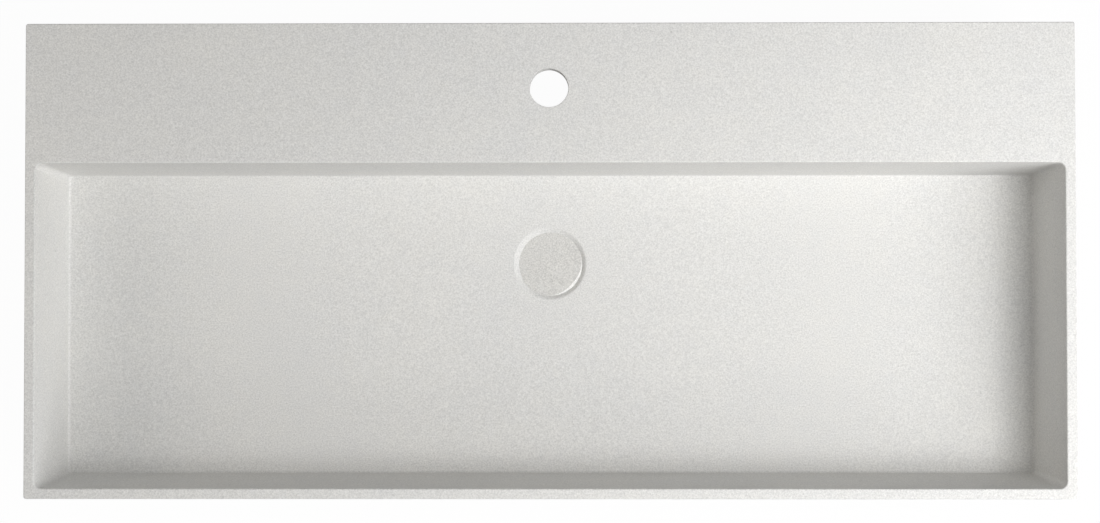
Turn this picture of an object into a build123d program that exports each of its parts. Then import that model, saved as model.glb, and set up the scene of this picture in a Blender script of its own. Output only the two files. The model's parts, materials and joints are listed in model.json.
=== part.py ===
"""Wall-hung cast concrete washbasin with a rear tap deck and a concrete-capped click-clack waste.

Millimetres. +X runs to the right along the wall, +Y points into the wall and +Z is up.
The origin is on the back face, midway between the two wall-fixing holes.
"""
from build123d import *

import math
import os

# Basin: outside and bowl
body_width = 1000.0
body_depth = 453.0
rim_above_fixings = 70.0
outer_corner_radius = 2.5
outer_arris = 1.0
rim_width = 10.0
deck_depth = 133.5
bowl_depth = 100.0
wall_draft = 5.5
bowl_corner_radius = 7.0
floor_corner_radius = 4.0
bowl_arris = 1.5
floor_fillet = 3.0
fall_per_length = 0.005

# Basin: underside, tap hole and wall fixings
deck_thickness = 15.0
floor_thickness = 20.0
skirt_thickness = 14.0
bowl_back_wall = 12.0
apron_thickness = 15.0
hollow_corner_radius = 8.0
skirt_below_boss = 4.0
base_arris = 1.0
tap_setback = 62.0
tap_hole_radius = 18.5
tap_arris = 0.6
fixing_spacing = 600.0
fixing_pad_radius = 30.0
fixing_pad_height = 10.0
sleeve_outer_radius = 8.0
sleeve_bore_radius = 6.0

# Waste opening in the bowl floor
waste_setback = 227.7
recess_lip_radius = 37.6
recess_lip_rounding = 4.0
recess_slope_angle = 37.0
waste_hole_radius = 23.0
boss_radius = 55.0
clamp_thickness = 18.5

# Moving plug: concrete cover, bond, metal carrier, seal, stem and lock nut
cover_radius = 31.5
cover_thickness = 5.3
cover_set_down = 2.2
cover_arris = 0.8
cover_gap = 0.35
bond_radius = 27.0
bond_thickness = 1.0
carrier_radius = 28.5
carrier_thickness = 2.0
carrier_arris = 0.5
seal_drop = 2.5
seal_height = 3.0
seal_squeeze_gap = 0.3
seal_groove_depth = 2.0
seal_arris = 0.6
plug_lip_height = 1.0
plug_lip_gap = 1.2
stem_radius = 3.0
stem_thread_depth = 8.0
stem_end_gap = 0.5
stem_head_radius = 4.5
stem_head_height = 4.0
lock_nut_flats = 10.0
lock_nut_height = 3.0
press_travel = 2.0
press_clearance = 0.5
open_lift = 10.0

# Click cartridge inside the waste
housing_radius = 7.0
housing_bore_radius = 6.0
cap_flats = 14.0
cap_flange_height = 2.5
cap_guide_height = 3.5
cap_skirt_height = 6.0
guide_gap = 0.08
crown_gap = 0.3
crown_tooth_depth = 2.0
crown_teeth = 8
cam_height = 4.0
cam_lug_height = 3.0
cam_lug_width = 2.2
cam_lugs = 4
cam_bore_gap = 0.3
cam_open_gap = 0.4
pilot_radius = 2.4
pilot_height = 3.0
spring_washer_thickness = 0.6
spring_washer_gap = 0.2
spring_length = 18.0
spring_mean_radius = 4.4
spring_wire_radius = 0.5
spring_turns = 6
seat_height = 4.0
seat_drain_radius = 1.5

# Waste body, gaskets and back nut
flange_radius = 31.0
flange_thickness = 3.0
flange_arris = 0.8
throat_radius = 18.0
throat_lead = 1.5
tail_radius = 20.955
tail_length = 65.0
tail_chamfer = 1.0
tail_relief_height = 1.2
tail_relief_depth = 0.8
hub_radius = 9.5
hub_height = 12.5
arm_count = 2
arm_width = 3.0
arm_height = 8.5
arm_set_down = 2.0
flange_gasket_radius = 30.0
flange_gasket_bore_radius = 21.5
flange_gasket_thickness = 1.5
tail_gasket_radius = 32.0
tail_gasket_thickness = 5.0
tail_gasket_lead = 3.0
tail_gasket_gap = 0.3
slip_washer_radius = 31.0
slip_washer_gap = 0.25
slip_washer_thickness = 1.5
back_nut_flats = 54.0
back_nut_height = 9.0
nut_arris = 0.6

# Overrun that every cut runs past the faces it opens
cut_overrun = 5.0

# Heights on the basin, then down the waste from the bowl floor
rim_z = rim_above_fixings
floor_z = rim_z - bowl_depth
cover_top_z = floor_z - cover_set_down
cover_base_z = cover_top_z - cover_thickness
bond_base_z = cover_base_z - bond_thickness
carrier_base_z = bond_base_z - carrier_thickness
flange_top_z = carrier_base_z - press_travel - press_clearance
flange_base_z = flange_top_z - flange_thickness
recess_base_z = flange_base_z - flange_gasket_thickness
boss_base_z = recess_base_z - clamp_thickness
base_z = boss_base_z - skirt_below_boss
body_height = rim_z - base_z
floor_underside_z = floor_z - floor_thickness
deck_underside_z = rim_z - deck_thickness

seal_top_z = flange_top_z - seal_drop
seal_base_z = seal_top_z - seal_height
plug_base_z = seal_base_z - plug_lip_height
lock_nut_base_z = plug_base_z - lock_nut_height
cap_top_z = lock_nut_base_z - press_travel - press_clearance
cap_seat_z = cap_top_z - cap_flange_height
cap_guide_base_z = cap_top_z - cap_guide_height
crown_base_z = cap_seat_z - cap_skirt_height
cam_top_z = crown_base_z - cam_open_gap - open_lift
cam_base_z = cam_top_z - cam_height
spring_top_z = cam_base_z - spring_washer_thickness
seat_top_z = spring_top_z - spring_length
seat_base_z = seat_top_z - seat_height
tail_base_z = flange_base_z - tail_length
washer_top_z = boss_base_z - tail_gasket_thickness
nut_top_z = washer_top_z - slip_washer_thickness
nut_base_z = nut_top_z - back_nut_height

# Places across the basin
waste_y = -waste_setback
tap_y = -tap_setback
bowl_front_y = -(body_depth - rim_width)
bowl_back_y = -deck_depth
bowl_middle_y = (bowl_front_y + bowl_back_y) / 2
bowl_width = body_width - 2 * rim_width
bowl_length = bowl_back_y - bowl_front_y
cavity_width = body_width - 2 * skirt_thickness
cavity_front_y = -(body_depth - skirt_thickness)
hollow_front_y = bowl_back_y + bowl_back_wall
apron_y = -apron_thickness

# Radii that follow a neighbour
recess_radius = cover_radius + cover_gap
seal_radius = throat_radius - seal_squeeze_gap
plug_lip_radius = throat_radius - plug_lip_gap
seal_groove_radius = plug_lip_radius - seal_groove_depth
crown_bore_radius = stem_head_radius + crown_gap
cam_lug_radius = housing_bore_radius - cam_bore_gap
cam_core_radius = stem_head_radius
fixing_depth = apron_thickness + fixing_pad_height

# Planes and axis of the waste
waste_axis = Axis((0, waste_y, 0), (0, 0, 1))
waste_section = Plane(origin=(0, waste_y, 0), x_dir=(1, 0, 0), z_dir=(0, -1, 0))


def waste_level(height):
    """Horizontal plane at a height, centred on the waste's axis."""
    return Plane(origin=(0, waste_y, height))


os.makedirs("parts", exist_ok=True)

# Space inside the bowl: drafted walls over a floor that falls evenly to the waste
floor_reach = math.hypot(body_width, body_depth)
with BuildPart() as bowl_space:
    with BuildSketch(Plane((0, bowl_middle_y, rim_z))):
        RectangleRounded(bowl_width, bowl_length, bowl_corner_radius)
    with BuildSketch(Plane((0, bowl_middle_y, floor_z))):
        RectangleRounded(
            bowl_width - 2 * wall_draft, bowl_length - 2 * wall_draft, floor_corner_radius
        )
    loft(ruled=True)
    with BuildSketch(waste_section):
        with BuildLine():
            Polyline(
                (0, floor_z),
                (floor_reach, floor_z + floor_reach * fall_per_length),
                (floor_reach, floor_z - cut_overrun),
                (0, floor_z - cut_overrun),
                close=True,
            )
        make_face()
    revolve(axis=waste_axis, mode=Mode.SUBTRACT)
    fillet(bowl_space.faces().sort_by(Axis.Z)[0].edges(), floor_fillet)

# Cast basin: block, underside hollows, bosses, bowl, recess and holes
with BuildPart() as basin_body:
    with BuildSketch(Plane((0, -body_depth / 2, base_z))):
        RectangleRounded(body_width, body_depth, outer_corner_radius)
    extrude(amount=body_height)

    # Shallow hollow under the bowl, deep hollow under the tap deck
    cavity_length = apron_y - cavity_front_y
    with BuildSketch(Plane((0, (apron_y + cavity_front_y) / 2, base_z))):
        RectangleRounded(cavity_width, cavity_length, hollow_corner_radius)
    extrude(amount=floor_underside_z - base_z, mode=Mode.SUBTRACT)
    hollow_length = apron_y - hollow_front_y
    with BuildSketch(Plane((0, (apron_y + hollow_front_y) / 2, base_z))):
        RectangleRounded(cavity_width, hollow_length, hollow_corner_radius)
    extrude(amount=deck_underside_z - base_z, mode=Mode.SUBTRACT)

    # Thick places: boss round the waste, pads behind the wall fixings
    with BuildSketch(waste_level(boss_base_z)):
        Circle(boss_radius)
    extrude(amount=floor_underside_z - boss_base_z)
    with BuildSketch(Plane.XZ.offset(apron_thickness)):
        with GridLocations(fixing_spacing, 0, 2, 1):
            Circle(fixing_pad_radius)
    extrude(amount=fixing_pad_height)

    # Bowl, and the recess whose lip rounds over from the floor and slopes down to the cover
    add(bowl_space.part, mode=Mode.SUBTRACT)
    slope = math.radians(recess_slope_angle)
    lip_top_z = floor_z + recess_lip_radius * fall_per_length
    slope_radius = recess_lip_radius - recess_lip_rounding * math.sin(slope)
    slope_top_z = lip_top_z - recess_lip_rounding * (1 - math.cos(slope))
    slope_base_z = slope_top_z - (slope_radius - recess_radius) * math.tan(slope)
    with BuildSketch(waste_section):
        with BuildLine():
            Polyline(
                (recess_lip_radius, lip_top_z),
                (recess_lip_radius, lip_top_z + cut_overrun),
                (0, lip_top_z + cut_overrun),
                (0, recess_base_z),
                (recess_radius, recess_base_z),
                (recess_radius, slope_base_z),
                (slope_radius, slope_top_z),
            )
            RadiusArc(
                (slope_radius, slope_top_z),
                (recess_lip_radius, lip_top_z),
                recess_lip_rounding,
            )
        make_face()
    revolve(axis=waste_axis, mode=Mode.SUBTRACT)
    with Locations((0, waste_y, recess_base_z)):
        Hole(waste_hole_radius, depth=clamp_thickness + cut_overrun)

    # Tap hole through the deck, and the two holes that take the fixing sleeves
    with Locations((0, tap_y, rim_z)):
        Hole(tap_hole_radius, depth=deck_thickness + cut_overrun)
    with BuildSketch(Plane.XZ.offset(-cut_overrun)):
        with GridLocations(fixing_spacing, 0, 2, 1):
            Circle(sleeve_outer_radius)
    extrude(amount=fixing_depth + 2 * cut_overrun, mode=Mode.SUBTRACT)

    # Softened edges that the mould leaves
    rim_face = basin_body.faces().sort_by(Axis.Z)[-1]
    fillet(rim_face.outer_wire().edges(), outer_arris)
    rim_face = basin_body.faces().sort_by(Axis.Z)[-1]
    openings = rim_face.inner_wires().sort_by(SortBy.LENGTH)
    fillet(openings[-1].edges(), bowl_arris)
    rim_face = basin_body.faces().sort_by(Axis.Z)[-1]
    openings = rim_face.inner_wires().sort_by(SortBy.LENGTH)
    fillet(openings[0].edges(), tap_arris)
    base_face = basin_body.faces().sort_by(Axis.Z)[0]
    chamfer(base_face.outer_wire().edges(), base_arris)
basin_body.part.label = "basin_body"
export_step(basin_body.part, "parts/basin_body.step")

# Plastic sleeves cast into the apron, one for each hanger bolt
for side, place in (("left", -1), ("right", 1)):
    with BuildPart() as fixing_sleeve:
        with BuildSketch(Plane(origin=(place * fixing_spacing / 2, 0, 0), z_dir=(0, -1, 0))):
            Circle(sleeve_outer_radius)
            Circle(sleeve_bore_radius, mode=Mode.SUBTRACT)
        extrude(amount=fixing_depth)
    fixing_sleeve.part.label = f"fixing_sleeve_{side}"
    export_step(fixing_sleeve.part, f"parts/fixing_sleeve_{side}.step")

# Concrete cover that closes the waste
with BuildPart() as cover_disc:
    with BuildSketch(waste_level(cover_base_z)):
        Circle(cover_radius)
    extrude(amount=cover_thickness)
    fillet(cover_disc.edges().group_by(Axis.Z)[-1], cover_arris)
    chamfer(cover_disc.edges().group_by(Axis.Z)[0], cover_arris)
cover_disc.part.label = "cover_disc"
export_step(cover_disc.part, "parts/cover_disc.step")

# Elastic bond between the concrete cover and its carrier
with BuildPart() as cover_bond:
    with BuildSketch(waste_level(bond_base_z)):
        Circle(bond_radius)
    extrude(amount=bond_thickness)
cover_bond.part.label = "cover_bond"
export_step(cover_bond.part, "parts/cover_bond.step")

# Metal carrier: plate, boss with the seal's groove, blind thread for the stem
with BuildPart() as plug_carrier:
    with BuildSketch(waste_level(carrier_base_z)):
        Circle(carrier_radius)
    extrude(amount=carrier_thickness)
    chamfer(plug_carrier.edges().group_by(Axis.Z)[0], carrier_arris)
    with BuildSketch(waste_section):
        with BuildLine():
            Polyline(
                (0, carrier_base_z),
                (plug_lip_radius, carrier_base_z),
                (plug_lip_radius, seal_top_z),
                (seal_groove_radius, seal_top_z),
                (seal_groove_radius, seal_base_z),
                (plug_lip_radius, seal_base_z),
                (plug_lip_radius, plug_base_z),
                (0, plug_base_z),
                close=True,
            )
        make_face()
    revolve(axis=waste_axis)
    with BuildSketch(waste_level(plug_base_z)):
        Circle(stem_radius)
    extrude(amount=stem_thread_depth, mode=Mode.SUBTRACT)
plug_carrier.part.label = "plug_carrier"
export_step(plug_carrier.part, "parts/plug_carrier.step")

# Rubber ring that wipes the throat of the waste
with BuildPart() as plug_seal:
    with BuildSketch(waste_section):
        with BuildLine():
            Polyline(
                (seal_groove_radius, seal_base_z),
                (seal_radius - seal_arris, seal_base_z),
                (seal_radius, seal_base_z + seal_arris),
                (seal_radius, seal_top_z - seal_arris),
                (seal_radius - seal_arris, seal_top_z),
                (seal_groove_radius, seal_top_z),
                close=True,
            )
        make_face()
    revolve(axis=waste_axis)
plug_seal.part.label = "plug_seal"
export_step(plug_seal.part, "parts/plug_seal.step")

# Stem from the carrier's thread down to the head that the cartridge traps
with BuildPart() as plug_stem:
    stem_top_z = plug_base_z + stem_thread_depth - stem_end_gap
    with BuildSketch(waste_level(cam_top_z)):
        Circle(stem_head_radius)
    extrude(amount=stem_head_height)
    with BuildSketch(waste_level(cam_top_z)):
        Circle(stem_radius)
    extrude(amount=stem_top_z - cam_top_z)
plug_stem.part.label = "plug_stem"
export_step(plug_stem.part, "parts/plug_stem.step")

# Thin nut that locks the stem under the carrier
with BuildPart() as stem_lock_nut:
    with BuildSketch(waste_level(lock_nut_base_z)):
        RegularPolygon(lock_nut_flats / 2, 6, major_radius=False)
        Circle(stem_radius, mode=Mode.SUBTRACT)
    extrude(amount=lock_nut_height)
stem_lock_nut.part.label = "stem_lock_nut"
export_step(stem_lock_nut.part, "parts/stem_lock_nut.step")

# Cartridge housing, screwed into the hub of the waste
with BuildPart() as cartridge_housing:
    with BuildSketch(waste_level(seat_base_z)):
        Circle(housing_radius)
        Circle(housing_bore_radius, mode=Mode.SUBTRACT)
    extrude(amount=cap_seat_z - seat_base_z)
cartridge_housing.part.label = "cartridge_housing"
export_step(cartridge_housing.part, "parts/cartridge_housing.step")

# One notch between the teeth of the crown, kept apart so that it can be repeated
with BuildPart() as crown_notch:
    notch_width = 2 * math.pi * crown_bore_radius / crown_teeth
    with BuildSketch(waste_section):
        with BuildLine():
            Polyline(
                (-notch_width / 2, crown_base_z - cut_overrun),
                (notch_width / 2, crown_base_z - cut_overrun),
                (notch_width / 2, crown_base_z),
                (-notch_width / 2, crown_base_z + crown_tooth_depth),
                close=True,
            )
        make_face()
    extrude(amount=housing_radius)

# Cartridge cap: hexagon flange, stem guide and a toothed crown that indexes the cam
with BuildPart() as cartridge_cap:
    with BuildSketch(waste_level(cap_seat_z)):
        RegularPolygon(cap_flats / 2, 6, major_radius=False)
    extrude(amount=cap_flange_height)
    with BuildSketch(waste_level(crown_base_z)):
        Circle(housing_bore_radius)
    extrude(amount=cap_skirt_height)
    with BuildSketch(waste_level(crown_base_z)):
        Circle(crown_bore_radius)
    extrude(amount=cap_guide_base_z - crown_base_z, mode=Mode.SUBTRACT)
    with BuildSketch(waste_level(cap_guide_base_z)):
        Circle(stem_radius + guide_gap)
    extrude(amount=cap_guide_height, mode=Mode.SUBTRACT)
    for tooth in range(crown_teeth):
        turned = crown_notch.part.rotate(waste_axis, 360 * tooth / crown_teeth)
        add(turned, mode=Mode.SUBTRACT)
cartridge_cap.part.label = "cartridge_cap"
export_step(cartridge_cap.part, "parts/cartridge_cap.step")

# Index cam: core, four riding lugs and the pilot that holds the spring
with BuildPart() as index_cam:
    with BuildSketch(waste_level(cam_base_z)):
        Circle(cam_core_radius)
    extrude(amount=cam_height)
    with BuildSketch(waste_level(cam_top_z)):
        with PolarLocations(cam_lug_radius / 2, cam_lugs):
            Rectangle(cam_lug_radius, cam_lug_width)
        Circle(cam_lug_radius, mode=Mode.INTERSECT)
    extrude(amount=-cam_lug_height)
    with BuildSketch(waste_level(cam_base_z)):
        Circle(pilot_radius)
    extrude(amount=-pilot_height)
index_cam.part.label = "index_cam"
export_step(index_cam.part, "parts/index_cam.step")

# Washer on which the cam turns freely on top of the spring
with BuildPart() as spring_washer:
    with BuildSketch(waste_level(spring_top_z)):
        Circle(spring_mean_radius + spring_wire_radius)
        Circle(pilot_radius + spring_washer_gap, mode=Mode.SUBTRACT)
    extrude(amount=spring_washer_thickness)
spring_washer.part.label = "spring_washer"
export_step(spring_washer.part, "parts/spring_washer.step")

# Return spring: a helix of round wire between the washer and the seat
with BuildPart() as return_spring:
    coil_height = spring_length - 2 * spring_wire_radius
    coil_start_z = seat_top_z + spring_wire_radius
    with BuildLine(waste_level(coil_start_z)):
        coil = Helix(coil_height / spring_turns, coil_height, spring_mean_radius)
    with BuildSketch(Plane(origin=coil @ 0, z_dir=coil % 0)):
        Circle(spring_wire_radius)
    sweep(path=coil, is_frenet=True)
return_spring.part.label = "return_spring"
export_step(return_spring.part, "parts/return_spring.step")

# Screwed seat that closes the housing and carries the spring
with BuildPart() as spring_seat:
    with BuildSketch(waste_level(seat_base_z)):
        Circle(housing_bore_radius)
    extrude(amount=seat_height)
    with BuildSketch(waste_level(seat_top_z)):
        Circle(pilot_radius)
    extrude(amount=pilot_height)
    with BuildSketch(waste_level(seat_base_z)):
        Circle(seat_drain_radius)
    extrude(amount=seat_height + pilot_height, mode=Mode.SUBTRACT)
spring_seat.part.label = "spring_seat"
export_step(spring_seat.part, "parts/spring_seat.step")

# Waste body: flange, throat, hub on a two-armed bridge, and a tail whose relief groove
# parts the thread that the back nut clamps on from the thread that a trap screws on to
with BuildPart() as waste_body:
    with BuildSketch(waste_section):
        with BuildLine():
            Polyline(
                (throat_radius, flange_top_z - throat_lead),
                (throat_radius + throat_lead, flange_top_z),
                (flange_radius - flange_arris, flange_top_z),
                (flange_radius, flange_top_z - flange_arris),
                (flange_radius, flange_base_z),
                (tail_radius, flange_base_z),
                (tail_radius, nut_base_z),
                (tail_radius - tail_relief_depth, nut_base_z),
                (tail_radius - tail_relief_depth, nut_base_z - tail_relief_height),
                (tail_radius, nut_base_z - tail_relief_height),
                (tail_radius, tail_base_z + tail_chamfer),
                (tail_radius - tail_chamfer, tail_base_z),
                (throat_radius, tail_base_z),
                close=True,
            )
        make_face()
    revolve(axis=waste_axis)
    with BuildSketch(waste_level(cap_seat_z)):
        Circle(hub_radius)
        Circle(housing_radius, mode=Mode.SUBTRACT)
    extrude(amount=-hub_height)
    wall_middle_radius = (throat_radius + tail_radius) / 2
    hub_middle_radius = (hub_radius + housing_radius) / 2
    with BuildSketch(waste_level(cap_seat_z - arm_set_down)):
        with PolarLocations((wall_middle_radius + hub_middle_radius) / 2, arm_count):
            Rectangle(wall_middle_radius - hub_middle_radius, arm_width)
    extrude(amount=-arm_height)
waste_body.part.label = "waste_body"
export_step(waste_body.part, "parts/waste_body.step")

# Gasket between the flange and the floor of the recess
with BuildPart() as flange_gasket:
    with BuildSketch(waste_level(recess_base_z)):
        Circle(flange_gasket_radius)
        Circle(flange_gasket_bore_radius, mode=Mode.SUBTRACT)
    extrude(amount=flange_gasket_thickness)
flange_gasket.part.label = "flange_gasket"
export_step(flange_gasket.part, "parts/flange_gasket.step")

# Rubber gasket under the basin, with a lead that centres the tail in the hole
with BuildPart() as tail_gasket:
    with BuildSketch(waste_section):
        with BuildLine():
            Polyline(
                (tail_radius, washer_top_z),
                (tail_gasket_radius, washer_top_z),
                (tail_gasket_radius, boss_base_z),
                (waste_hole_radius - tail_gasket_gap, boss_base_z),
                (tail_radius, boss_base_z + tail_gasket_lead),
                close=True,
            )
        make_face()
    revolve(axis=waste_axis)
tail_gasket.part.label = "tail_gasket"
export_step(tail_gasket.part, "parts/tail_gasket.step")

# Nylon washer that lets the nut turn without dragging the gasket
with BuildPart() as slip_washer:
    with BuildSketch(waste_level(nut_top_z)):
        Circle(slip_washer_radius)
        Circle(tail_radius + slip_washer_gap, mode=Mode.SUBTRACT)
    extrude(amount=slip_washer_thickness)
slip_washer.part.label = "slip_washer"
export_step(slip_washer.part, "parts/slip_washer.step")

# Back nut that clamps the waste to the basin
with BuildPart() as back_nut:
    with BuildSketch(waste_level(nut_base_z)):
        RegularPolygon(back_nut_flats / 2, 6, major_radius=False)
        Circle(tail_radius, mode=Mode.SUBTRACT)
    extrude(amount=back_nut_height)
    corners = back_nut.edges().filter_by(Axis.Z)
    fillet(corners, nut_arris)
back_nut.part.label = "back_nut"
export_step(back_nut.part, "parts/back_nut.step")
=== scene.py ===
# %% [markdown]
# # Concrete washbasin
# A thin-walled basin, cast upside down in pale concrete and hung on a wall. One round concrete
# cover hides a push-open waste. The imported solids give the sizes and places. This script dresses
# them: it loads them as a fixed frame, gives each a finish, and swaps a few for finer pieces.

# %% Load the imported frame
import json
import math
import random

import bmesh
import bpy
from mathutils import Matrix, Vector


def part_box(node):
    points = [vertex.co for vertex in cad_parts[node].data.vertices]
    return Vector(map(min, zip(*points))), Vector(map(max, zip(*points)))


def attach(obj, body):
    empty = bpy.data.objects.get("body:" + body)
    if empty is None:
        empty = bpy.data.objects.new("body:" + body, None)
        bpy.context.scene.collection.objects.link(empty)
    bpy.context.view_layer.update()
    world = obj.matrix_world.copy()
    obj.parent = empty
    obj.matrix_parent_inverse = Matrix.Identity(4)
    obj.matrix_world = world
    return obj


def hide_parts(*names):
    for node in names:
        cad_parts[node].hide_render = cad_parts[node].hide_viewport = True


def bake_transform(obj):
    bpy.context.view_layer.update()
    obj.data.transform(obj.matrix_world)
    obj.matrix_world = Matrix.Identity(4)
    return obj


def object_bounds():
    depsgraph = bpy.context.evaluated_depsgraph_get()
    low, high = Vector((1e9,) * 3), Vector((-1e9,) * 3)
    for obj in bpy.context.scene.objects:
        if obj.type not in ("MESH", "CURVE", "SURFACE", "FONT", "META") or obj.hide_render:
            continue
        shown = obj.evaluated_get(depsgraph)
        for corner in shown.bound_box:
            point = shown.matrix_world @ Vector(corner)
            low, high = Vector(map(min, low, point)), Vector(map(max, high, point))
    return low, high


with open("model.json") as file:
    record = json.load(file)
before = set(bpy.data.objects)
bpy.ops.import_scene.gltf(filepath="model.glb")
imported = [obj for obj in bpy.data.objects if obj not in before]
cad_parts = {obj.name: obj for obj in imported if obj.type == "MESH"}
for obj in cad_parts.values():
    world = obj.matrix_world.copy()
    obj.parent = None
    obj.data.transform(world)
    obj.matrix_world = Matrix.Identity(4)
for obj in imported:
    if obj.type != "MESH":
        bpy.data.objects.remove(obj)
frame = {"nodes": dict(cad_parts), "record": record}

cad_low, cad_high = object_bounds()

# %% [markdown]
# ## Places and sizes
# Everything is in metres. Heights and radii are read from the boxes of the CAD nodes, so the
# looks follow when a size changes. A size that no box shows is stated where it is first used.
# The waste's tail carries the 1 1/4 inch pipe thread, which has 11 turns per inch and is 0.64
# of a turn's height deep.

# %% Read the places from the frame
mm = 0.001
inch = 25.4 * mm
basin_low, basin_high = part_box("basin_body")
cover_low, cover_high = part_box("cover_disc")
waste_low, waste_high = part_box("waste_body")
mounts = {mount["name"]: mount for mount in frame["record"]["mounts"]}

waste_centre = (cover_low + cover_high) / 2
waste_axis = Vector((0, 0, 1))
rim_z = basin_high.z
tail_end_z = waste_low.z
tail_radius = mounts["waste_tail"]["dims"]["r_mm"] * mm
throat_radius = 18 * mm
disc_radius = (cover_high.x - cover_low.x) / 2
turns_per_inch, depth_of_turn = 11, 0.64
thread_pitch = inch / turns_per_inch
thread_depth = depth_of_turn * thread_pitch
print("waste axis at", [round(value, 4) for value in waste_centre.xy], "rim at", round(rim_z, 3))

# %% [markdown]
# ## A small kit for pieces
# A piece starts as a bmesh. `draw_section` draws half of a round piece's outline, and
# `add_turned` spins it round the waste's axis, as a lathe would, because most of a waste is
# turned metal or moulded rubber. `soften` bevels the sharp edges, since no real edge is
# perfectly sharp, and a bevel catches the light. `finish_piece` makes the object, hands it to
# its CAD body and hides the plain node that it stands for. It drops the normals that a packed
# mesh brings along, because they don't fit new points. `flatten_faces` joins level faces and
# weighs the normals by area, so that a flat face looks flat right up to its rounded edge.


# %% Turn a section
ring_steps = 128


def draw_section(bm, section):
    """Draws a closed outline of (radius, height) points beside the waste's axis."""
    corners = [
        bm.verts.new((waste_centre.x + radius, waste_centre.y, height))
        for radius, height in section
    ]
    edges = [
        bm.edges.new((corner, following))
        for corner, following in zip(corners, corners[1:] + corners[:1])
    ]
    return corners + edges


def add_turned(bm, section, steps=ring_steps):
    """Adds a ring to bm: a section spun once round the waste's axis."""
    bmesh.ops.spin(
        bm, geom=draw_section(bm, section), cent=waste_centre, axis=waste_axis,
        angle=2 * math.pi, steps=steps, use_merge=True,
    )


# %% Soften the edges
def soften(bm, width, sharper_than, segments):
    """Bevels the edges of bm whose faces meet at more than an angle in degrees."""
    sharp = [
        edge for edge in bm.edges
        if len(edge.link_faces) == 2 and edge.calc_face_angle(0) > math.radians(sharper_than)
    ]
    bmesh.ops.bevel(
        bm, geom=sharp, offset=width, segments=segments, profile=0.5,
        affect="EDGES", clamp_overlap=True, material=-1,
    )


# %% Finish a piece
merge_distance = 0.002 * mm


def finish_piece(bm, name, body, material, replaces, smooth_up_to=38):
    """Makes a piece of a bmesh, smooth up to an angle, that rides on a body for some nodes."""
    bmesh.ops.remove_doubles(bm, verts=bm.verts[:], dist=merge_distance)
    bmesh.ops.recalc_face_normals(bm, faces=bm.faces[:])
    mesh = bpy.data.meshes.new(name)
    bm.to_mesh(mesh)
    bm.free()
    stored_normals = mesh.attributes.get("custom_normal")
    if stored_normals:
        mesh.attributes.remove(stored_normals)
    mesh.shade_smooth()
    mesh.set_sharp_from_angle(angle=math.radians(smooth_up_to))
    mesh.materials.append(material)
    piece = bpy.data.objects.new(name, mesh)
    bpy.context.scene.collection.objects.link(piece)
    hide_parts(*replaces)
    if body:
        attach(piece, body)
    print(name, "has", len(mesh.polygons), "faces")
    return piece


# %% Flatten the level faces
level_within = 0.2


def apply_modifiers(piece):
    """Makes what the modifiers do to a piece its own mesh."""
    dressed = piece.evaluated_get(bpy.context.evaluated_depsgraph_get())
    piece.data = bpy.data.meshes.new_from_object(dressed)
    piece.modifiers.clear()


def flatten_faces(piece):
    """Joins level faces and makes them look flat, so that only their rounded edges look curved."""
    joined = piece.modifiers.new("joined_faces", "DECIMATE")
    joined.decimate_type = "DISSOLVE"
    joined.angle_limit = math.radians(level_within)
    joined.delimit = {"MATERIAL", "SHARP"}
    piece.modifiers.new("flat_faces", "WEIGHTED_NORMAL").keep_sharp = True
    apply_modifiers(piece)
    print(piece.name, "has", len(piece.data.polygons), "faces once joined")


# %% [markdown]
# ## A small kit for finishes
# A finish is a node material. Written node by node, the maths of a surface is hard to read, so
# `Number` wraps a socket and lets Python's own signs add Math nodes. `Nodes.node` makes any
# other node from its type, its settings and what goes into its sockets. `Finish` is a material
# made that way. The noise of Blender lies around 0.5, so `noise` takes that mean away.


# %% Numbers and nodes
class Number:
    """A socket that carries a number or a colour; + - and * on it add Math nodes."""

    def __init__(self, nodes, socket):
        self.nodes = nodes
        self.socket = socket

    def __add__(self, other):
        return self.nodes.maths("ADD", self, other)

    def __radd__(self, other):
        return self.nodes.maths("ADD", other, self)

    def __sub__(self, other):
        return self.nodes.maths("SUBTRACT", self, other)

    def __rsub__(self, other):
        return self.nodes.maths("SUBTRACT", other, self)

    def __mul__(self, other):
        return self.nodes.maths("MULTIPLY", self, other)

    def __rmul__(self, other):
        return self.nodes.maths("MULTIPLY", other, self)


class Nodes:
    """A node tree whose nodes are made by short calls."""

    def __init__(self, tree):
        self.tree = tree

    def node(self, kind, output=0, sockets=None, **settings):
        """Adds a node, sets it up, feeds its sockets and gives one of its outputs."""
        made = self.tree.nodes.new(kind)
        for name, value in settings.items():
            setattr(made, name, value)
        for name, value in (sockets or {}).items():
            self.feed(made.inputs[name], value)
        return Number(self, made.outputs[output])

    def feed(self, socket, value):
        """Links a Number to a socket, or sets the socket to a plain value."""
        if isinstance(value, Number):
            self.tree.links.new(value.socket, socket)
        else:
            socket.default_value = value

    def maths(self, operation, first, second):
        """Adds a Math node that works on two numbers."""
        return self.node("ShaderNodeMath", sockets={0: first, 1: second}, operation=operation)


# %% Finishes
noise_mean = 0.5


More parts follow.
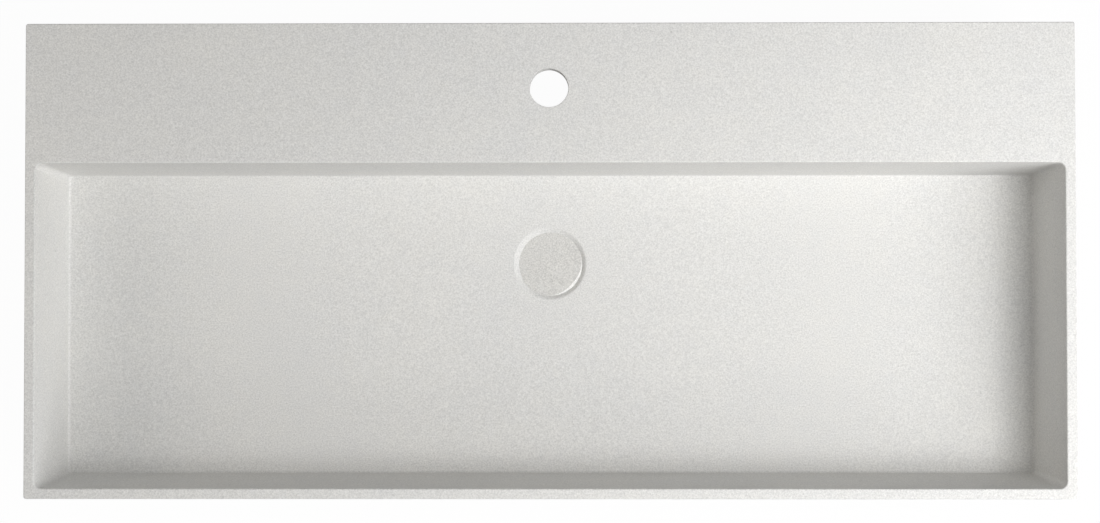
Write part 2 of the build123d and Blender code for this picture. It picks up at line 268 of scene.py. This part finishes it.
class Finish(Nodes):
    """A material with the textures and blends that the washbasin's surfaces need."""

    def __init__(self, name, colour, roughness, metallic=0.0):
        self.material = bpy.data.materials.new(name)
        self.material.use_nodes = True
        super().__init__(self.material.node_tree)
        self.shader = self.tree.nodes["Principled BSDF"]
        self.colour = (*colour, 1.0)
        self.feed(self.shader.inputs["Base Color"], self.colour)
        self.feed(self.shader.inputs["Roughness"], roughness)
        self.feed(self.shader.inputs["Metallic"], metallic)
        self.place = self.node("ShaderNodeTexCoord", output="Object")

    def noise(self, size, detail, roughness=0.5):
        """Cloudy noise around 0, whose patches are about size metres across."""
        sockets = {
            "Vector": self.place, "Scale": 1 / size, "Detail": detail, "Roughness": roughness,
        }
        return self.node("ShaderNodeTexNoise", sockets=sockets) - noise_mean

    def grains(self, size):
        """How far, in cells, the middle of the nearest cell is; a cell is size metres across."""
        sockets = {"Vector": self.place, "Scale": 1 / size}
        return self.node("ShaderNodeTexVoronoi", output="Distance", sockets=sockets)

    def step(self, value, low, high):
        """0 below low, 1 above high and a soft ramp between."""
        sockets = {"Value": value, "From Min": low, "From Max": high}
        return self.node("ShaderNodeMapRange", sockets=sockets, interpolation_type="SMOOTHSTEP")

    def tint(self, share, colour, other):
        """A colour that goes from one to another by share."""
        return self.node(
            "ShaderNodeMix", output="Result", data_type="RGBA",
            sockets={"Factor": share, "A": colour, "B": other},
        )

    def shade(self, colour, brightness):
        """A colour times a brightness."""
        return self.node(
            "ShaderNodeMix", output="Result", data_type="RGBA", blend_type="MULTIPLY",
            sockets={"Factor": 1.0, "A": colour, "B": brightness},
        )

    def paint(self, colour, roughness, height, relief):
        """Feeds the shader, with a height map that stands relief metres proud."""
        self.feed(self.shader.inputs["Base Color"], colour)
        self.feed(self.shader.inputs["Roughness"], roughness)
        bumped = self.node("ShaderNodeBump", sockets={"Height": height, "Distance": relief})
        self.feed(self.shader.inputs["Normal"], bumped)
        return self.material


# %% [markdown]
# ## Concrete
# Fine cast concrete is pale sand held in cement. From a step away it is almost even: broad
# clouds where the cement lies thicker, a soft mottle, and the speckle of single grains. A few
# pinholes are left by air; they are painted darker, which is painted shade inside the small
# pits. All of this reads the object's own coordinates, in metres, so the grains stay about a
# millimetre across on every piece. The face that lay on the mould is smooth. The hollow side,
# levelled by hand, is darker and rougher. The broad broken edge of the cover is painted paler,
# as a painted highlight.


# %% Mix the concrete
cloud_size, mottle_size, sand_size, pinhole_spacing = 120 * mm, 16 * mm, 1.5 * mm, 17 * mm
pinhole_core, pinhole_edge = 0.016, 0.032
# pinhole_shade: how much darker the pinholes are painted, as painted shade in the small pits.
mottling, pinhole_shade = 0.05, 0.35
mottle_height, pinhole_depth = 3, 8
sand_roughness = 0.2
warmth = (1.01, 1.0, 0.975)


def concrete(name, colour, roughness, clouds=0.06, speckle=0.82, relief=0.05 * mm):
    """Concrete of a mean colour; clouds and speckle say how far its brightness varies."""
    finish = Finish(name, colour, roughness)
    cloud = finish.noise(cloud_size, detail=3)
    mottle = finish.noise(mottle_size, detail=3, roughness=0.6)
    sand = finish.noise(sand_size, detail=2, roughness=0.7)
    pinhole = 1 - finish.step(finish.grains(pinhole_spacing), pinhole_core, pinhole_edge)
    # Taking pinhole * pinhole_shade away paints the pinholes darker: painted shade in the small
    # pits.
    brightness = 1 + cloud * clouds + mottle * mottling + sand * speckle - pinhole * pinhole_shade
    warmer = (*(channel * share for channel, share in zip(colour, warmth)), 1.0)
    hue = finish.tint(mottle + cloud + noise_mean, finish.colour, warmer)
    return finish.paint(
        colour=finish.shade(hue, brightness), roughness=roughness + sand * sand_roughness,
        height=sand + mottle * mottle_height - pinhole * pinhole_depth, relief=relief,
    )


cast_concrete = concrete("cast_concrete", (0.674, 0.673, 0.665), roughness=0.72)
cover_concrete = concrete(
    "cover_concrete", (0.608, 0.603, 0.587), roughness=0.78, clouds=0.03, speckle=1.1
)
# Paler concrete for the cover's broad broken edge; its paleness is a painted highlight where light
# catches that edge.
painted_highlight_concrete = concrete("painted_highlight_concrete", (0.86, 0.86, 0.85), roughness=0.8, clouds=0.03)
hollow_concrete = concrete(
    "hollow_concrete", (0.56, 0.548, 0.525), roughness=0.9, clouds=0.2, relief=0.25 * mm
)
concretes = (cast_concrete, cover_concrete, painted_highlight_concrete, hollow_concrete)
print("concretes:", [material.name for material in concretes])

# %% [markdown]
# ## Metals
# The waste is brass turned on a lathe, so its bare faces carry fine rings round their own axis.
# A Wave texture in rings gives them, and a Mapping node centres it on the waste. At a scale of 1
# its rings are about 0.3 m wide. Chrome plate hides most of the rings and shows a little haze
# instead.


# %% Plate and turn the metals
unscaled_ring = 0.3
smear_size = 9 * mm
ring_roughness = 0.04


def turned_metal(name, colour, roughness, ring_width, relief, haze=0.1):
    """Metal turned round the waste's axis; haze says how far smears change its shine."""
    finish = Finish(name, colour, roughness, metallic=1.0)
    centred = finish.node(
        "ShaderNodeMapping", sockets={"Vector": finish.place, "Location": -waste_centre}
    )
    scale = unscaled_ring / ring_width
    rings = finish.node(
        "ShaderNodeTexWave", output="Fac", wave_type="RINGS", rings_direction="Z",
        sockets={"Vector": centred, "Scale": scale, "Distortion": 0.6, "Detail": 2.0},
    )
    smear = finish.noise(smear_size, detail=4, roughness=0.65)
    return finish.paint(
        colour=finish.shade(finish.colour, 1 + smear * haze),
        roughness=roughness + smear * haze + rings * ring_roughness,
        height=rings, relief=relief,
    )


chrome = turned_metal(
    "chrome_plate", (0.83, 0.84, 0.85), roughness=0.09, ring_width=0.8 * mm, relief=0.001 * mm
)
brass = turned_metal(
    "turned_brass", (0.78, 0.57, 0.27), roughness=0.27, ring_width=0.5 * mm, relief=0.008 * mm,
    haze=0.25,
)
steel = turned_metal(
    "bright_steel", (0.62, 0.62, 0.61), roughness=0.3, ring_width=0.4 * mm, relief=0.006 * mm
)
print("metals:", chrome.name, brass.name, steel.name)

# %% [markdown]
# ## Rubber and plastics
# Moulded parts take the fine texture of their mould. Rubber also carries a pale bloom of dust
# and talc, nylon is milky, and acetal is dark with a low sheen. One function makes them all,
# with the size and depth of the grain as its values.


# %% Mould the rubber and plastics
patch_size = 11 * mm
dust_whiteness = 0.35
grain_in_dust = 0.5
clean_up_to, dusty_from = -0.05, 0.35
patch_roughness, grain_roughness = 0.2, 0.1


def moulded(name, colour, roughness, bloom, grain=0.9 * mm, relief=0.02 * mm):
    """A moulding with a fine grain and patches of pale dust; bloom says how strong they are."""
    finish = Finish(name, colour, roughness)
    texture = finish.noise(grain, detail=3, roughness=0.6)
    patches = finish.noise(patch_size, detail=4, roughness=0.6)
    dusty = (*(min(1.0, channel + dust_whiteness) for channel in colour), 1.0)
    share = finish.step(patches + texture * grain_in_dust, clean_up_to, dusty_from) * bloom
    return finish.paint(
        colour=finish.tint(share, finish.colour, dusty),
        roughness=roughness + patches * patch_roughness + texture * grain_roughness,
        height=texture, relief=relief,
    )


rubber = moulded("black_rubber", (0.03, 0.03, 0.032), roughness=0.62, bloom=0.22)
nylon = moulded("milky_nylon", (0.8, 0.8, 0.765), roughness=0.42, bloom=0.1, grain=1.6 * mm)
acetal = moulded(
    "dark_acetal", (0.075, 0.08, 0.085), roughness=0.36, bloom=0.06, grain=1.2 * mm
)
sealant = moulded(
    "grey_sealant", (0.3, 0.3, 0.29), roughness=0.55, bloom=0.1, grain=2.5 * mm, relief=0.05 * mm
)
print("mouldings:", rubber.name, nylon.name, acetal.name, sealant.name)

# %% [markdown]
# ## Finishes for the nodes that stay
# Small turned and moulded pieces whose solids already have the right shape stay as they are.
# A node keeps its mesh and only takes a new material in its slot.

# %% Dress the CAD nodes
kept_nodes = {
    "fixing_sleeve_left": nylon,
    "fixing_sleeve_right": nylon,
    "slip_washer": nylon,
    "flange_gasket": rubber,
    "plug_seal": rubber,
    "cover_bond": sealant,
    "plug_carrier": chrome,
    "plug_stem": steel,
    "stem_lock_nut": steel,
    "spring_washer": steel,
    "index_cam": acetal,
    "cartridge_housing": acetal,
    "cartridge_cap": acetal,
    "spring_seat": acetal,
}
for node, material in kept_nodes.items():
    frame["nodes"][node].material_slots[0].material = material
print("dressed", len(kept_nodes), "nodes")

# %% [markdown]
# ## Air bubbles in the concrete
# Air that is caught against a mould leaves small round pits. A pit is a real hollow, so it is
# cut with a ball instead of painted. The basin is cast upside down and air rises, so the open
# side that faces the floor has the most and the largest, the upright faces have some, and the
# deck and the bowl floor have only a few tiny ones. Small bubbles are commoner than large ones,
# which the square of a random number gives. A ball is set a little into its face.


# %% Cut pits
ball_sink = 0.2
pitted_smooth_up_to = 40


def add_pit_balls(balls, bm, wanted, count, smallest, largest):
    """Adds balls for pits to balls, on random faces of bm that wanted picks."""
    faces = [face for face in bm.faces if wanted(face)]
    areas = [face.calc_area() for face in faces]
    for face in random.choices(faces, weights=areas, k=count):
        radius = smallest + (largest - smallest) * random.random() ** 2
        along, across = random.random(), random.random()
        if along + across > 1:
            along, across = 1 - along, 1 - across
        first, second, third = (vert.co for vert in face.verts[:3])
        place = first + along * (second - first) + across * (third - first)
        middle = place - ball_sink * radius * face.normal
        made = bmesh.ops.create_icosphere(balls, subdivisions=2, radius=radius)
        bmesh.ops.translate(balls, verts=made["verts"], vec=middle)


def cut_pits(piece, balls):
    """Cuts the balls out of a piece and keeps its rounded edges smooth."""
    mesh = bpy.data.meshes.new("pit_balls")
    balls.to_mesh(mesh)
    balls.free()
    cutter = bpy.data.objects.new("pit_balls", mesh)
    bpy.context.scene.collection.objects.link(cutter)
    modifier = piece.modifiers.new("pits", "BOOLEAN")
    modifier.operation = "DIFFERENCE"
    modifier.solver = "EXACT"
    modifier.object = cutter
    apply_modifiers(piece)
    bpy.data.objects.remove(cutter)
    piece.data.shade_smooth()
    piece.data.set_sharp_from_angle(angle=math.radians(pitted_smooth_up_to))
    print(piece.name, "has", len(piece.data.polygons), "faces once pitted")


# %% [markdown]
# ## The basin
# The solid already has the basin's real form: drafted bowl walls, softened rims, the sloping
# lip round the waste and the hollow underside. So the piece is a copy of its mesh, merged
# first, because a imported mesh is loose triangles. The walls of the hollow say which faces are
# on its darker side; a face that only touches them still counts. The round wall that holds the
# cover moves a little to the right and forward, where the photograph shows the cover, and last
# the casting is pitted.

# %% Copy the solid
basin = bmesh.new()
basin.from_mesh(frame["nodes"]["basin_body"].data)
bmesh.ops.remove_doubles(basin, verts=basin.verts[:], dist=merge_distance)
basin.normal_update()
print("basin copy:", len(basin.verts), "points and", len(basin.faces), "faces")

# %% Tell its hollow side from the rest
touching = 0.2 * mm
skirt_thickness = 14 * mm
back_thickness = 15 * mm
deck_thickness = 15 * mm
bowl_underside_depth = 120 * mm
bowl_back_depth = 121.5 * mm
hollow_side_x = basin_high.x - skirt_thickness + touching
hollow_front_y = basin_low.y + skirt_thickness - touching
hollow_back_y = basin_high.y - back_thickness + touching
bowl_back_y = basin_high.y - bowl_back_depth - touching
under_bowl_z = rim_z - bowl_underside_depth + touching
under_deck_z = rim_z - deck_thickness + touching
level_normal_z, upright_normal_z = 0.99, 0.1
smallest_flat = 1 * mm * mm


def in_hollow(place):
    """Whether a place on the basin is inside the hollow that opens downwards."""
    if abs(place.x) > hollow_side_x or not hollow_front_y < place.y < hollow_back_y:
        return False
    return place.z < under_bowl_z or (place.y > bowl_back_y and place.z < under_deck_z)


def flat_up(face):
    """Whether a face is level, looks up and is larger than the facets of a rounding."""
    return face.normal.z > level_normal_z and face.calc_area() > smallest_flat


def upright(face):
    """Whether a face stands upright and isn't in the hollow."""
    return abs(face.normal.z) < upright_normal_z and not in_hollow(face.calc_center_median())


def hollow(face):
    """Whether a face is in the hollow."""
    return in_hollow(face.calc_center_median())


print("hollow side:", sum(map(hollow, basin.faces)), "faces")

# %% Move the wall that holds the cover
near = 0.1 * mm
recess_radius = disc_radius + 0.35 * mm
recess_wall_depth = 8 * mm
cover_shift = Vector((0.6 * mm, -0.4 * mm, 0))
recess_wall = [
    vert for vert in basin.verts
    if abs((vert.co.xy - waste_centre.xy).length - recess_radius) < near
    and waste_high.z - recess_wall_depth < vert.co.z < cover_high.z
]
for vert in recess_wall:
    vert.co += cover_shift
print("recess wall:", len(recess_wall), "points moved")

# %% Cast the basin
random.seed(20)
basin_pits = bmesh.new()
add_pit_balls(basin_pits, basin, flat_up, count=34, smallest=0.25 * mm, largest=0.5 * mm)
add_pit_balls(basin_pits, basin, upright, count=130, smallest=0.3 * mm, largest=1.0 * mm)
add_pit_balls(basin_pits, basin, hollow, count=150, smallest=0.5 * mm, largest=2.2 * mm)
basin_casting = finish_piece(
    basin, "basin_casting", "basin", cast_concrete, ["basin_body"]
)
cut_pits(basin_casting, basin_pits)
basin_casting.data.materials.append(hollow_concrete)
for polygon in basin_casting.data.polygons:
    polygon.material_index = int(in_hollow(polygon.center))
flatten_faces(basin_casting)

# %% [markdown]
# ## The waste's cover
# A concrete disc that lies in the recess, a little below the floor, with hardly a gap round it.
# It was ground by hand: its edge is broken wide at the right of its front, and its face leans a
# little, so that it is almost level with the slope behind. A circle is extruded to a disc and
# both its edges are bevelled evenly. Then each point of the ground edge moves along its own
# profile, and the whole face is lowered towards the back. Only the faces that lean as a ground
# edge does take the paler concrete, a painted highlight that draws a bright arc there.

# %% Cast the cover
cover_radius = disc_radius + 0.24 * mm
cover_arris = 1.0 * mm
cover = bmesh.new()
bmesh.ops.create_circle(cover, cap_ends=True, segments=ring_steps, radius=cover_radius)
bmesh.ops.translate(cover, verts=cover.verts[:], vec=(*waste_centre.xy, cover_low.z))
raised = bmesh.ops.extrude_face_region(cover, geom=cover.faces[:])
raised_verts = [item for item in raised["geom"] if isinstance(item, bmesh.types.BMVert)]
bmesh.ops.translate(cover, verts=raised_verts, vec=(0, 0, cover_high.z - cover_low.z))
for height in (cover_high.z, cover_low.z):
    rim = [
        edge for edge in cover.edges
        if all(abs(vert.co.z - height) < near for vert in edge.verts)
    ]
    bmesh.ops.bevel(
        cover, geom=rim, offset=cover_arris, segments=1, profile=0.5, affect="EDGES", material=-1
    )
print("cover:", round(2 * cover_radius / mm, 1), "mm across")

# %% Grind its edge and face
most_ground_at = math.radians(-40)
least_ground, most_ground = 0.05, 2.5
ground_focus = 5
edge_flatness = 0.3
face_lean = 0.9 * mm
towards_front = Vector((math.cos(most_ground_at), math.sin(most_ground_at), 0))
for vert in cover.verts:
    drop = cover_high.z - vert.co.z
    if drop < cover_arris + near:
        outwards = Vector((vert.co.x - waste_centre.x, vert.co.y - waste_centre.y, 0))
        inset = cover_radius - outwards.length
        facing = max(0, outwards.normalized().dot(towards_front))
        ground = least_ground + (most_ground - least_ground) * facing ** ground_focus
        moved = outwards.normalized() * (cover_radius - inset * ground)
        behind = (1 - moved.dot(towards_front) / cover_radius) / 2
        lowered = drop * ground * edge_flatness + face_lean * behind
        vert.co = (waste_centre.x + moved.x, waste_centre.y + moved.y, cover_high.z - lowered)
    vert.co += cover_shift
cover_casting = finish_piece(
    cover, "cover_casting", "plug", cover_concrete, ["cover_disc"],
    smooth_up_to=25,
)
flatten_faces(cover_casting)

# %% Paint a highlight on the ground edge
steepest_highlight_face, flattest_highlight_face = 0.3, 0.985
highlight_above_z = cover_high.z - 2 * mm
# The faces that lean as the broken edge does take the paler concrete: a painted highlight.
cover_casting.data.materials.append(painted_highlight_concrete)
for polygon in cover_casting.data.polygons:
    leans = steepest_highlight_face < polygon.normal.z < flattest_highlight_face
    polygon.material_index = int(leans and polygon.center.z > highlight_above_z)
painted_highlight_faces = sum(polygon.material_index for polygon in cover_casting.data.polygons)
print("cover:", painted_highlight_faces, "ground faces")

# %% [markdown]
# ## The waste
# One brass turning: a flange that the gasket seals, a throat that the plug's seal wipes, a hub
# on two arms for the cartridge, and a tail with a pipe thread above and below a relief groove,
# which lies just under the back nut. The wall is turned from its section, and the arms run a
# little into it.

# %% Turn the waste
flange_radius = (waste_high.x - waste_low.x) / 2
flange_base_z = waste_high.z - 3 * mm
flange_arris = 0.8 * mm
throat_lead = 1.5 * mm
root_radius = tail_radius - thread_depth
thread_top_z = flange_base_z - 16 * mm
thread_run_out = 1.5 * mm
tail_chamfer = 0.4 * mm
waste = bmesh.new()
add_turned(waste, [
    (throat_radius, waste_high.z - throat_lead), (throat_radius + throat_lead, waste_high.z),
    (flange_radius - flange_arris, waste_high.z), (flange_radius, waste_high.z - flange_arris),
    (flange_radius, flange_base_z), (tail_radius, flange_base_z),
    (tail_radius, thread_top_z), (root_radius, thread_top_z - thread_run_out),
    (root_radius, tail_end_z + tail_chamfer), (root_radius - tail_chamfer, tail_end_z),
    (throat_radius, tail_end_z),
])
print("waste:", round((waste_high.z - tail_end_z) / mm, 1), "mm long")

# %% Add its hub and arms
housing_radius = 7 * mm
hub_radius = 9.5 * mm
hub_top_z = waste_high.z - 14.5 * mm
hub_base_z = hub_top_z - 12.5 * mm
hub_steps = 64
arm_width, arm_height = 3 * mm, 8.5 * mm
arm_set_down = 2 * mm
arm_overlap = 1.5 * mm
add_turned(waste, [
    (housing_radius, hub_top_z), (hub_radius, hub_top_z),
    (hub_radius, hub_base_z), (housing_radius, hub_base_z),
], steps=hub_steps)

arm_length = throat_radius - hub_radius + arm_overlap
arm_middle = (hub_radius + throat_radius) / 2
arm_z = hub_top_z - arm_set_down - arm_height / 2
for side in (-1, 1):
    arm = bmesh.ops.create_cube(waste, size=1)["verts"]
    bmesh.ops.scale(waste, verts=arm, vec=(arm_length, arm_width, arm_height))
    bmesh.ops.translate(
        waste, verts=arm, vec=(waste_centre.x + side * arm_middle, waste_centre.y, arm_z)
    )
print("arms:", round(arm_length / mm, 1), "mm long")

# %% [markdown]
# ## Its pipe thread
# The thread is a ridge with a flat crest, spun along a helix, with `dvec` lifting each step. Its
# foot is sunk into the tail, and a narrow gap is left between two turns, because turns that
# touch would spoil each other. It is spun a turn too long at both ends and cut off level with
# `bisect_plane`.

# %% Cut the thread
thread_steps = 64
spare_turns = 1
thread_fill = 0.96
foot_share, crest_share = 0.5, 0.16
foot_radius = root_radius - 0.15 * mm
cut_tolerance = 0.001 * mm
ridge_outline = (
    (foot_radius, -foot_share), (tail_radius, -crest_share),
    (tail_radius, crest_share), (foot_radius, foot_share),
)


def add_thread(bm, low_z, high_z):
    """Adds a pipe thread's ridge to bm, from one height to another."""
    turns = math.ceil((high_z - low_z) / thread_pitch) + 2 * spare_turns
    start_z = low_z - spare_turns * thread_pitch
    ridge = bmesh.new()
    outline = draw_section(ridge, [
        (radius, start_z + share * thread_pitch * thread_fill) for radius, share in ridge_outline
    ])
    bmesh.ops.spin(
        ridge, geom=outline, cent=waste_centre, axis=waste_axis,
        dvec=(0, 0, thread_pitch / thread_steps), angle=2 * math.pi * turns,
        steps=turns * thread_steps,
    )
    for height, outwards in ((low_z, -1), (high_z, 1)):
        bmesh.ops.bisect_plane(
            ridge, geom=ridge.verts[:] + ridge.edges[:] + ridge.faces[:], dist=cut_tolerance,
            plane_co=(0, 0, height), plane_no=(0, 0, outwards), clear_outer=True,
        )
    open_edges = [edge for edge in ridge.edges if len(edge.link_faces) == 1]
    bmesh.ops.holes_fill(ridge, edges=open_edges, sides=0)
    mesh = bpy.data.meshes.new("thread_ridge")
    ridge.to_mesh(mesh)
    ridge.free()
    bm.from_mesh(mesh)
    bpy.data.meshes.remove(mesh)
    print("thread:", round((high_z - low_z) / thread_pitch, 1), "turns")


nut_low, nut_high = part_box("back_nut")
relief_height = 1.2 * mm
thread_end_gap = 0.5 * mm
add_thread(waste, tail_end_z + thread_end_gap, nut_low.z - relief_height)
add_thread(waste, nut_low.z, thread_top_z - thread_end_gap)
finish_piece(
    waste, "waste_turning", "basin", chrome, ["waste_body"], smooth_up_to=32
)

# %% [markdown]
# ## What clamps the waste
# Under the basin sit a thick rubber gasket, squeezed until its edge bulges, a nylon washer, and
# a brass back nut. The gasket's tapered lead fills the hole round the tail. A nut is hexagon bar
# that has been chamfered on a lathe, so it is made that way: a turned blank with conical
# corners, kept only where it lies inside a hexagon.

# %% Squeeze the gasket
gasket_low, gasket_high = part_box("tail_gasket")
gasket_radius = (gasket_high.x - gasket_low.x) / 2
lead_height = 3 * mm
lead_radius = 22.7 * mm
bulge = 0.6 * mm
lead_base_z = gasket_high.z - lead_height
gasket = bmesh.new()
add_turned(gasket, [
    (tail_radius, gasket_low.z), (gasket_radius - bulge, gasket_low.z),
    (gasket_radius, (gasket_low.z + lead_base_z) / 2), (gasket_radius - bulge, lead_base_z),
    (lead_radius, lead_base_z), (tail_radius, gasket_high.z),
])
soften(gasket, width=1.2 * mm, sharper_than=20, segments=4)
finish_piece(
    gasket, "squeezed_gasket", "basin", rubber, ["tail_gasket"], smooth_up_to=60
)

# %% Turn the blank of the back nut
nut_sides = 6
half_side = 180 / nut_sides
nut_flats = nut_high.y - nut_low.y
nut_corner = nut_flats / 2 / math.cos(math.radians(half_side))
shoulder_radius = nut_flats / 2 - 0.4 * mm
corner_slope = math.radians(30)
corner_drop = (nut_corner - shoulder_radius) * math.tan(corner_slope)
bore_chamfer = 1 * mm
nut = bmesh.new()
add_turned(nut, [
    (tail_radius, nut_low.z + bore_chamfer), (tail_radius + bore_chamfer, nut_low.z),
    (shoulder_radius, nut_low.z), (nut_corner, nut_low.z + corner_drop),
    (nut_corner, nut_high.z - corner_drop), (shoulder_radius, nut_high.z),
    (tail_radius + bore_chamfer, nut_high.z), (tail_radius, nut_high.z - bore_chamfer),
])
print("nut:", round(nut_flats / mm, 1), "mm across flats")

# %% Cut its six flats
corner_on_x = nut_high.x - nut_low.x > nut_flats
first_corner = 0 if corner_on_x else half_side
for side in range(nut_sides):
    towards = math.radians(first_corner + half_side * (2 * side + 1))
    outwards = Vector((math.cos(towards), math.sin(towards), 0))
    cut = bmesh.ops.bisect_plane(
        nut, geom=nut.verts[:] + nut.edges[:] + nut.faces[:], dist=cut_tolerance,
        plane_co=waste_centre + outwards * nut_flats / 2, plane_no=outwards, clear_outer=True,
    )
    rim = [item for item in cut["geom_cut"] if isinstance(item, bmesh.types.BMEdge)]
    bmesh.ops.holes_fill(nut, edges=rim, sides=0)
finish_piece(nut, "hexagon_nut", "basin", brass, ["back_nut"], smooth_up_to=25)

# %% [markdown]
# ## The return spring
# In the real waste it is the one piece that changes its length. Here it is wound at its length
# at rest, between its seat in the housing and the plug, and rides on no body.

# %% Wind the spring
spring_low, spring_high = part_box("return_spring")
wire_radius = 0.5 * mm
wire_sides = 12
coil_radius = (spring_high.x - spring_low.x) / 2 - wire_radius
coil_turns = 6
steps_per_turn = 40
coil_steps = coil_turns * steps_per_turn
climb = (spring_high.z - spring_low.z - 2 * wire_radius) / coil_steps
spring = bmesh.new()
wire_ring = bmesh.ops.create_circle(spring, segments=wire_sides, radius=wire_radius)["verts"]
quarter_turn = Matrix.Rotation(math.radians(90), 3, "X")
bmesh.ops.rotate(spring, verts=wire_ring, cent=(0, 0, 0), matrix=quarter_turn)
wire_start = Vector((waste_centre.x + coil_radius, waste_centre.y, spring_low.z + wire_radius))
bmesh.ops.translate(spring, verts=wire_ring, vec=wire_start)
bmesh.ops.spin(
    spring, geom=spring.verts[:] + spring.edges[:], cent=waste_centre, axis=waste_axis,
    dvec=(0, 0, climb), angle=2 * math.pi * coil_turns, steps=coil_steps,
)
wire_ends = [edge for edge in spring.edges if len(edge.link_faces) == 1]
bmesh.ops.holes_fill(spring, edges=wire_ends, sides=0)
coil_spring = finish_piece(
    spring, "coil_spring", None, steel, ["return_spring"], smooth_up_to=60
)
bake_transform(coil_spring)
print("spring:", round((spring_high.z - spring_low.z) / mm, 1), "mm long at rest")

# %% [markdown]
# ## Floor and background
# The photograph is cut out on white. The floor lies just under the waste's tail. The camera
# sees it as white that a soft shadow darkens a little, while its bounce onto the object stays
# plain. Light Path tells a camera's ray from a bounce; metal and glass are shown the same white
# as the camera. Seen from below the floor is clear, so that it never hides the underside. The
# room round it glows weakly and evenly, and is white too wherever it is shown.

# %% Lay the floor
floor_z = cad_low.z - 1 * mm
floor_reach = 6
floor_bm = bmesh.new()
bmesh.ops.create_grid(floor_bm, x_segments=1, y_segments=1, size=floor_reach)
bmesh.ops.translate(floor_bm, verts=floor_bm.verts[:], vec=(0, basin_low.y / 2, floor_z))
floor_mesh = bpy.data.meshes.new("studio_floor")
floor_bm.to_mesh(floor_mesh)
floor_bm.free()
studio_floor = bpy.data.objects.new("studio_floor", floor_mesh)
bpy.context.scene.collection.objects.link(studio_floor)
print("floor at", round(floor_z, 4))


# %% Paint it white
def shown(nodes):
    """1 for the rays that show a surface to the camera, metal or glass, and 0 for a bounce."""
    to_camera, to_gloss, to_glass = (
        nodes.node("ShaderNodeLightPath", output=f"Is {ray} Ray")
        for ray in ("Camera", "Glossy", "Transmission")
    )
    return nodes.maths("MAXIMUM", to_camera, nodes.maths("MAXIMUM", to_gloss, to_glass))


bounce_light = 0.35
bounce_white = 0.5
shown_white = 0.97
floor_finish = Finish("floor_white", (0.8, 0.8, 0.8), roughness=0.9)
floor_shown = shown(floor_finish)
painted = Number(floor_finish, floor_finish.shader.outputs[0])
glow = floor_finish.node(
    "ShaderNodeEmission", sockets={"Strength": bounce_light + floor_shown * (1 - bounce_light)}
)
glow_share = bounce_white + floor_shown * (shown_white - bounce_white)
white = floor_finish.node("ShaderNodeMixShader", sockets={0: glow_share, 1: painted, 2: glow})

# %% Make it clear from below
from_below = floor_finish.node("ShaderNodeNewGeometry", output="Backfacing")
to_camera = floor_finish.node("ShaderNodeLightPath", output="Is Camera Ray")
clear = floor_finish.node("ShaderNodeBsdfTransparent")
surface = floor_finish.node(
    "ShaderNodeMixShader", sockets={0: from_below * to_camera, 1: white, 2: clear}
)
output_node = floor_finish.tree.nodes["Material Output"]
floor_finish.feed(output_node.inputs["Surface"], surface)
floor_mesh.materials.append(floor_finish.material)
print("floor finish:", len(floor_finish.tree.nodes), "nodes")

# %% Light the room evenly
room_light = 0.14
world = bpy.data.worlds.new("studio")
bpy.context.scene.world = world
world.use_nodes = True
sky = Nodes(world.node_tree)
background = sky.tree.nodes["Background"]
sky.feed(background.inputs["Color"], (1, 1, 1, 1))
sky.feed(background.inputs["Strength"], sky.maths("MAXIMUM", room_light, shown(sky)))
print("room light:", room_light)

# %% [markdown]
# ## Lamps
# The photograph has one large soft lamp to the right, a little in front and fairly high: the
# deck grows brighter to the right, the bowl's left and back walls are bright, and its right
# and front walls lie in soft shade. Two lamps, one below the other, make up this large one.
# Light from the front, low and far off, brightens the back wall, and a weak lamp on the left
# keeps the shade pale. Only area lamps give such wide soft shadows. Each is hung by where it
# stands round the basin, how high it is and how far away.

# %% Hang the lamps
basin_middle = Vector((0, basin_low.y / 2, 0))


def hang_lamp(name, around, height, distance, width, watts, colour=(1, 1, 1)):
    """Hangs a square lamp that looks at the basin: degrees round from its right, degrees up."""
    around, height = math.radians(around), math.radians(height)
    towards = Vector((
        math.cos(height) * math.cos(around), math.cos(height) * math.sin(around), math.sin(height)
    ))
    light = bpy.data.lights.new(name, "AREA")
    light.shape = "SQUARE"
    light.size = width
    light.energy = watts
    light.color = colour
    lamp = bpy.data.objects.new(name, light)
    lamp.location = basin_middle + distance * towards
    lamp.rotation_euler = towards.to_track_quat("Z", "Y").to_euler()
    bpy.context.scene.collection.objects.link(lamp)
    print(name, watts, "W,", distance, "m away")


hang_lamp("key_lamp", around=-20, height=60, distance=1.8, width=0.8, watts=18.5)
hang_lamp("key_lamp_foot", around=-20, height=42, distance=1.6, width=0.8, watts=6.2)
hang_lamp("far_lamp", around=-45, height=30, distance=4.0, width=2.0, watts=45)
hang_lamp(
    "left_lamp", around=180, height=30, distance=1.8, width=0.8, watts=5.4,
    colour=(1.0, 0.955, 0.89),
)

# %% [markdown]
# ## Camera
# The photograph looks straight down from about 1.7 m above the rim. The place, the tiny tilts
# and the lens come from matching the outer corners, the bowl's rim and the bowl's floor.

# %% Set the camera
photo_camera = bpy.data.cameras.new("photo_camera")
photo_camera.sensor_width = 36
photo_camera.lens = 58.56
camera = bpy.data.objects.new("photo_camera", photo_camera)
camera.location = (0.0165, -0.2625, 1.770)
camera.rotation_mode = "ZYX"
camera.rotation_euler = (math.radians(1.177), math.radians(0.527), math.radians(-0.046))
bpy.context.scene.collection.objects.link(camera)
bpy.context.scene.camera = camera
bpy.context.scene.view_settings.view_transform = "Standard"
print("camera:", round(camera.location.z - rim_z, 2), "m above the rim")
